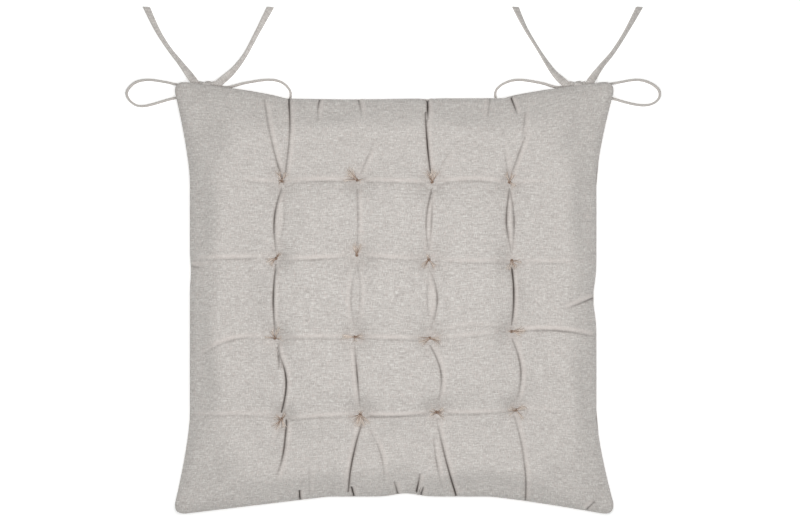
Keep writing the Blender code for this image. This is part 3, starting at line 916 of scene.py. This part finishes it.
class SeatPadSettings(bpy.types.PropertyGroup):
    """Sizes and colours that a user would change."""

    crown_height: bpy.props.FloatProperty(
        name="Crown height", description="Height of the cells' crowns before they fill",
        default=0.046, unit="LENGTH",
    )
    filling_pressure: bpy.props.FloatProperty(
        name="Filling pressure", description="How hard the filling pushes the cloth out", default=3.0
    )
    cloth_slack: bpy.props.FloatProperty(
        name="Cloth slack", description="Spare cloth, as a share of its size", default=0.018,
        subtype="FACTOR",
    )
    crease_strength: bpy.props.FloatProperty(
        name="Crease strength", description="Scales the depth of the creases", default=1.0
    )
    tape_width: bpy.props.FloatProperty(
        name="Tape width", description="Width of the tie tape", default=0.007, unit="LENGTH"
    )
    tape_thickness: bpy.props.FloatProperty(
        name="Tape thickness", description="Thickness of the folded tape", default=0.0021,
        unit="LENGTH",
    )
    cloth_pale: colour_setting("Pale yarn", "The slubs' colour", "d5d0cc")
    cloth_deep: colour_setting("Deep yarn", "The ground's colour", "aaa39f")
    cloth_warm: colour_setting("Warm cast", "The faint pink cast", "d3c6c1")
    thread_pale: colour_setting("Pale fibre", "The tufts' frayed ends", "e0d4ca")
    thread_deep: colour_setting("Tan thread", "The tufting thread", "8f7666")


def settings_of(context):
    return context.scene.seat_pad


def cover_material(context):
    found = bpy.data.materials.get("yarn_dyed_cotton_linen_weave")
    own = settings_of(context)
    return found or woven_cotton_linen(
        "yarn_dyed_cotton_linen_weave", own.cloth_pale, own.cloth_deep, own.cloth_warm
    )


def thread_material(context):
    found = bpy.data.materials.get("plied_tan_cotton_thread")
    own = settings_of(context)
    return found or twisted_cotton_thread(
        "plied_tan_cotton_thread", own.thread_pale, own.thread_deep
    )


class SEATPAD_OT_stage(bpy.types.Operator):
    """Make the floor, the soft light and the camera."""

    bl_idname = "seatpad.stage"
    bl_label = "Stage"

    def execute(self, context):
        scene = context.scene
        scene.view_settings.view_transform = "Standard"
        paper = matt_paper("seamless_white_paper", linear("fbfbfb"), 0.4)
        bpy.ops.mesh.primitive_plane_add(size=60.0, location=(0, 0, -0.0005))
        floor = context.object
        floor.name = "floor"
        floor.data.materials.append(paper)

        world = bpy.data.worlds.new("even_white_room")
        scene.world = world
        world.use_nodes = True
        sky = world.node_tree.nodes["Background"]
        sky.inputs["Color"].default_value = (0.96, 1.0, 0.98, 1)
        sky.inputs["Strength"].default_value = 0.31

        place = Vector((0.015, 0.03, 0.95))
        data = bpy.data.lights.new("overhead_softbox", "AREA")
        data.size = 0.4
        data.energy = 6.55
        lamp = bpy.data.objects.new("overhead_softbox", data)
        lamp.location = place
        lamp.visible_camera = False
        lamp.rotation_euler = (-place).to_track_quat("-Z", "Y").to_euler()
        scene.collection.objects.link(lamp)

        aim = Vector((0.005, 0.0296, SEAM_HEIGHT * MM))
        view_width = 0.729
        lens = 100.0
        sensor = 36.0
        data = bpy.data.cameras.new("camera")
        data.lens = lens
        data.sensor_width = sensor
        camera = bpy.data.objects.new("camera", data)
        camera.location = aim + Vector((0, 0, view_width * lens / sensor))
        scene.collection.objects.link(camera)
        scene.camera = camera
        return {"FINISHED"}


class SEATPAD_OT_ties(bpy.types.Operator):
    """Make the two bows of folded tape."""

    bl_idname = "seatpad.ties"
    bl_label = "Ties"

    def execute(self, context):
        own = settings_of(context)
        width, thickness = own.tape_width / MM, own.tape_thickness / MM
        cloth = cover_material(context)
        for name, points in TAPE_ROUTES.items():
            side = name.split("_")[0]
            if "tail" in name:
                # The tail comes out from under the knot's turns.
                x, y, z = KNOTS[side]
                points = ((x + 0.4 * (points[0][0] - x), y - 0.4, z + 1.2, 0), *points)
            verts, faces, uvs, route = tape_shape(points, width, thickness)
            if "tail" in name:
                verts = cut_level(verts, route, TAIL_CUT_REACH)
            piece = mesh_object(f"{name}_tape", verts, faces, cloth, uvs)
            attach(piece, f"{side}_tie")
            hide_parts(name)
            centres = route[:, :3] * MM
            tuple(centres[0])
            [tuple(point) for point in centres]
        for side, centre in KNOTS.items():
            self.knot(side, centre, width, thickness, cloth)
            self.anchor(side, centre, width, cloth)
        return {"FINISHED"}

    def knot(self, side, centre, width, thickness, cloth):
        """The turns of tape round the middle of the bow."""
        turns = Parts()
        uvs = []
        wraps = (
            # slant across the bow, sideways shift, half height, half depth, start angle
            (0.9, 0.0, 4.3, 3.5, -100),
            (-1.8, -3.0, 3.8, 3.0, -60),
            (2.0, 3.0, 3.7, 3.0, -150),
        )
        for slant, shift, half_height, half_depth, start in wraps:
            points = []
            for step in range(13):
                angle = math.radians(start + step * 30)
                x = centre[0] + shift + slant * math.cos(angle)
                y = centre[1] + half_depth * math.cos(angle)
                z = centre[2] + half_height * math.sin(angle)
                points.append((x, y, z))
            route = even_steps(points, 0.6)
            sideways = np.repeat([[1.0, 0.12 * slant, 0.0]], len(route), axis=0)
            section = tape_section(width * 0.72, thickness * 0.75)
            verts, faces = sweep(route, sideways, section)
            turns.add(verts, faces)
            across = np.tile(section[:, 0], len(route))
            along = np.repeat(np.arange(len(route)) * 0.6, len(section))
            uvs.append(np.stack([across, along], axis=1))
        piece = turns.object(f"{side}_tie_knot_turns", cloth, np.vstack(uvs))
        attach(piece, f"{side}_tie")
        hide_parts(f"{side}_tie_knot")

    def anchor(self, side, centre, width, cloth):
        """The sewn-in end, from between the seam's layers down to the knot."""
        x = centre[0]
        points = (
            (x, 190.5, 20.0, 0),
            (x, 193.8, 20.0, 0),
            (x, 195.4, 19.3, 0),
            (x, 195.9, 17.8, 0),
            (x, 195.4, 16.2, 0),
        )
        verts, faces, uvs, _ = tape_shape(points, width, 1.0, 0.5)
        piece = mesh_object(f"{side}_tie_sewn_end", verts, faces, cloth, uvs)
        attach(piece, "pad")
        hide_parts(f"{side}_tie_anchor")


class SEATPAD_OT_cover(bpy.types.Operator):
    """Make the two panels of the cover and fill them by cloth simulation."""

    bl_idname = "seatpad.cover"
    bl_label = "Cover"

    def execute(self, context):
        own = settings_of(context)
        cloth = cover_material(context)
        crown = own.crown_height / MM

        def top_height(u, v, x, y):
            rise = (crown - SEAM_HEIGHT) * fullness(u, v, TOP_EDGE_WIDTH)
            well = (crown - TOP_WELL_FLOOR) * tuft_pull(x, y, TOP_WELL_RADIUS)
            return SEAM_HEIGHT + rise - well

        def bottom_height(u, v, x, y):
            drop = SEAM_HEIGHT * fullness(u, v, BOTTOM_EDGE_WIDTH)
            well = BOTTOM_WELL_FLOOR * tuft_pull(x, y, BOTTOM_WELL_RADIUS)
            return SEAM_HEIGHT - drop + well

        top = cloth_panel("cover_top_panel", TOP_CELLS, top_height, 1, cloth)
        bottom = cloth_panel("cover_bottom_panel", BOTTOM_CELLS, bottom_height, -1, cloth)
        fill_panel(top, own.filling_pressure, own.cloth_slack, *TOP_FILLING)
        fill_panel(bottom, own.filling_pressure, own.cloth_slack, *BOTTOM_FILLING)
        for panel, node, creases in (
            (top, "top_cover", cover_folds() + tuft_gathers(4)),
            (bottom, "bottom_cover", ()),
        ):
            subdivided(panel)
            u, v = grid_shares(panel.data)
            pucker_seam(panel, u, v, 7)
            press_creases(panel, creases, own.crease_strength)
            places = coordinates(panel.data)
            places[:, 2] = np.maximum(places[:, 2], 0)
            set_coordinates(panel.data, places)
            give_thickness(panel, CLOTH_THICKNESS)
            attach(panel, "pad")
            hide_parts(node)
        return {"FINISHED"}


class SEATPAD_OT_inside(bpy.types.Operator):
    """Give the filling and the seam stitches inside the cover their real materials."""

    bl_idname = "seatpad.inside"
    bl_label = "Filling and stitching"

    def execute(self, context):
        fibre = lofted_fibre("carded_polyester_fibre", linear("f4f3f0"), linear("dad8d3"))
        thread = twisted_cotton_thread("spun_sewing_thread", linear("cfc9c3"), linear("a9a29b"))
        top = coordinates(bpy.data.objects["cover_top_panel"].data) / MM
        bottom = coordinates(bpy.data.objects["cover_bottom_panel"].data) / MM
        shares = []
        for panel in ("cover_top_panel", "cover_bottom_panel"):
            shares.append(np.stack(grid_shares(bpy.data.objects[panel].data), axis=1))
        count = 45
        line = np.linspace(-0.93, 0.93, count)
        grid = np.stack([part.ravel() for part in np.meshgrid(line, line)], axis=1)
        layers = []
        for places, own, inset in ((top, shares[0], -2.5), (bottom, shares[1], 2.0)):
            order = np.lexsort((np.round(own[:, 0], 6), np.round(own[:, 1], 6)))
            side = round(math.sqrt(len(order)))
            surface = places[order].reshape(side, side, 3)
            at = np.rint((grid + 1) / 2 * (side - 1)).astype(int)
            level = surface[at[:, 1], at[:, 0]].copy()
            # the lowest cloth near each point, so that the filling stays inside every fold
            near = [
                surface[np.clip(at[:, 1] + j, 0, side - 1), np.clip(at[:, 0] + i, 0, side - 1), 2]
                for i in (-3, 0, 3)
                for j in (-3, 0, 3)
            ]
            level[:, 2] = (np.min(near, axis=0) if inset < 0 else np.max(near, axis=0)) + inset
            layers.append(level)
        middle = (layers[0][:, 2] + layers[1][:, 2]) / 2
        layers[0][:, 2] = np.maximum(layers[0][:, 2], middle + 0.5)
        layers[1][:, 2] = np.minimum(layers[1][:, 2], middle - 0.5)
        layers[1][:, :2] = layers[0][:, :2]
        faces = []
        for i in range(count - 1):
            for j in range(count - 1):
                a = i * count + j
                face = (a, a + 1, a + count + 1, a + count)
                faces.append(face)
                faces.append(tuple(count * count + k for k in reversed(face)))
        rim = list(range(count))
        rim += [i * count + count - 1 for i in range(1, count)]
        rim += [(count - 1) * count + j for j in range(count - 2, -1, -1)]
        rim += [i * count for i in range(count - 2, 0, -1)]
        for a, b in zip(rim, rim[1:] + rim[:1]):
            faces.append((b, a, a + count * count, b + count * count))
        filling = mesh_object("fibre_block", np.vstack(layers), faces, fibre)
        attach(filling, "pad")
        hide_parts("fibre_filling")
        for node in ("seam_stitching", "closing_stitching"):
            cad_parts[node].data.materials.clear()
            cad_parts[node].data.materials.append(thread)
        return {"FINISHED"}


class SEATPAD_OT_tufts(bpy.types.Operator):
    """Make the sixteen hand-tied tufts with their frayed ends."""

    bl_idname = "seatpad.tufts"
    bl_label = "Tufts"

    def execute(self, context):
        thread = thread_material(context)
        rng = random.Random(16)
        depsgraph = context.evaluated_depsgraph_get()
        cloth_tree = BVHTree.FromObject(bpy.data.objects["cover_top_panel"], depsgraph)
        for row in range(4):
            for column in range(4):
                piece = self.tuft(row, column, cloth_tree, thread, rng)
                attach(piece, "pad")
                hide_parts(f"tuft_{row + 1}_{column + 1}")
        return {"FINISHED"}

    def tuft(self, row, column, cloth_tree, thread, rng):
        x, y = TUFTS[row][column]
        parts = Parts()
        shares = []

        def add(points, thick, thin, sides, frayed):
            verts, faces = strand(points, thick, thin, sides)
            parts.add(verts, faces)
            along = np.repeat(np.linspace(0, 1, len(verts) // sides), sides)
            shade = np.full(len(along), rng.random() if frayed else 0.3)
            shares.append(np.stack([along if frayed else 0 * along, shade], axis=1))

        def height(px, py):
            hit = cloth_tree.ray_cast(Vector((px, py, 200)) * MM, Vector((0, 0, -1)))[0]
            return hit.z / MM

        top = height(x, y)
        add([(x, y, top + 0.6), (x, y, 24), (x, y, BOTTOM_WELL_FLOOR - 1)], 0.8, 0.8, 8, False)
        for level, start_height, turns in ((top + 0.1, 0.35, 3), (BOTTOM_WELL_FLOOR - 1.6, -0.5, 3)):
            for turn in range(turns):
                start = rng.uniform(0, 360)
                points = []
                for step in range(8):
                    angle = math.radians(start + step * 50)
                    radius = 1.0 + 0.25 * math.sin(step * 1.7)
                    rise = level + turn * start_height + 0.35 * math.sin(angle * 2 + turn)
                    points.append((x + radius * math.cos(angle), y + radius * math.sin(angle), rise))
                add(points, 0.5, 0.45, 6, False)
        for direction, length, spread, fibres in TUFT_ENDS[row][column]:
            for _ in range(fibres):
                angle = math.radians(direction + rng.gauss(0, spread / 2))
                reach = length * rng.uniform(0.75, 1.15)
                lift = rng.uniform(0.4, 2.6)
                bend = rng.gauss(0, 1.0)
                points = []
                for share in (0, 0.25, 0.5, 0.75, 1.0):
                    out = 0.5 + reach * share
                    side = bend * share * share * 1.4
                    px = x + out * math.cos(angle) - side * math.sin(angle)
                    py = y + out * math.sin(angle) + side * math.cos(angle)
                    pz = height(px, py) + 0.5 + lift * math.sin(share * 2.3) + 1.2 * (1 - share)
                    points.append((px, py, pz))
                add(points, 0.36, 0.2, 5, True)
        return parts.object(f"tuft_{row + 1}_{column + 1}_thread", thread, np.vstack(shares))


class SEATPAD_PT_sidebar(bpy.types.Panel):
    """Lists the seat pad's settings and the steps that build it."""

    bl_idname = "SEATPAD_PT_sidebar"
    bl_label = "Seat Pad"
    bl_space_type = "VIEW_3D"
    bl_region_type = "UI"
    bl_category = "Seat Pad"

    def draw(self, context):
        own = settings_of(context)
        for name in SeatPadSettings.__annotations__:
            self.layout.prop(own, name)
        for operator in STEPS:
            self.layout.operator(operator.bl_idname)


STEPS = (
    SEATPAD_OT_stage,
    SEATPAD_OT_ties,
    SEATPAD_OT_cover,
    SEATPAD_OT_inside,
    SEATPAD_OT_tufts,
)
CLASSES = (SeatPadSettings, *STEPS, SEATPAD_PT_sidebar)


def register():
    for each in CLASSES:
        bpy.utils.register_class(each)
    bpy.types.Scene.seat_pad = bpy.props.PointerProperty(type=SeatPadSettings)


def unregister():
    del bpy.types.Scene.seat_pad
    for each in reversed(CLASSES):
        bpy.utils.unregister_class(each)


def main():
    register()
    bpy.ops.seatpad.stage()
    bpy.ops.seatpad.ties()
    bpy.ops.seatpad.cover()
    bpy.ops.seatpad.inside()
    bpy.ops.seatpad.tufts()


if __name__ == "__main__":
    main()
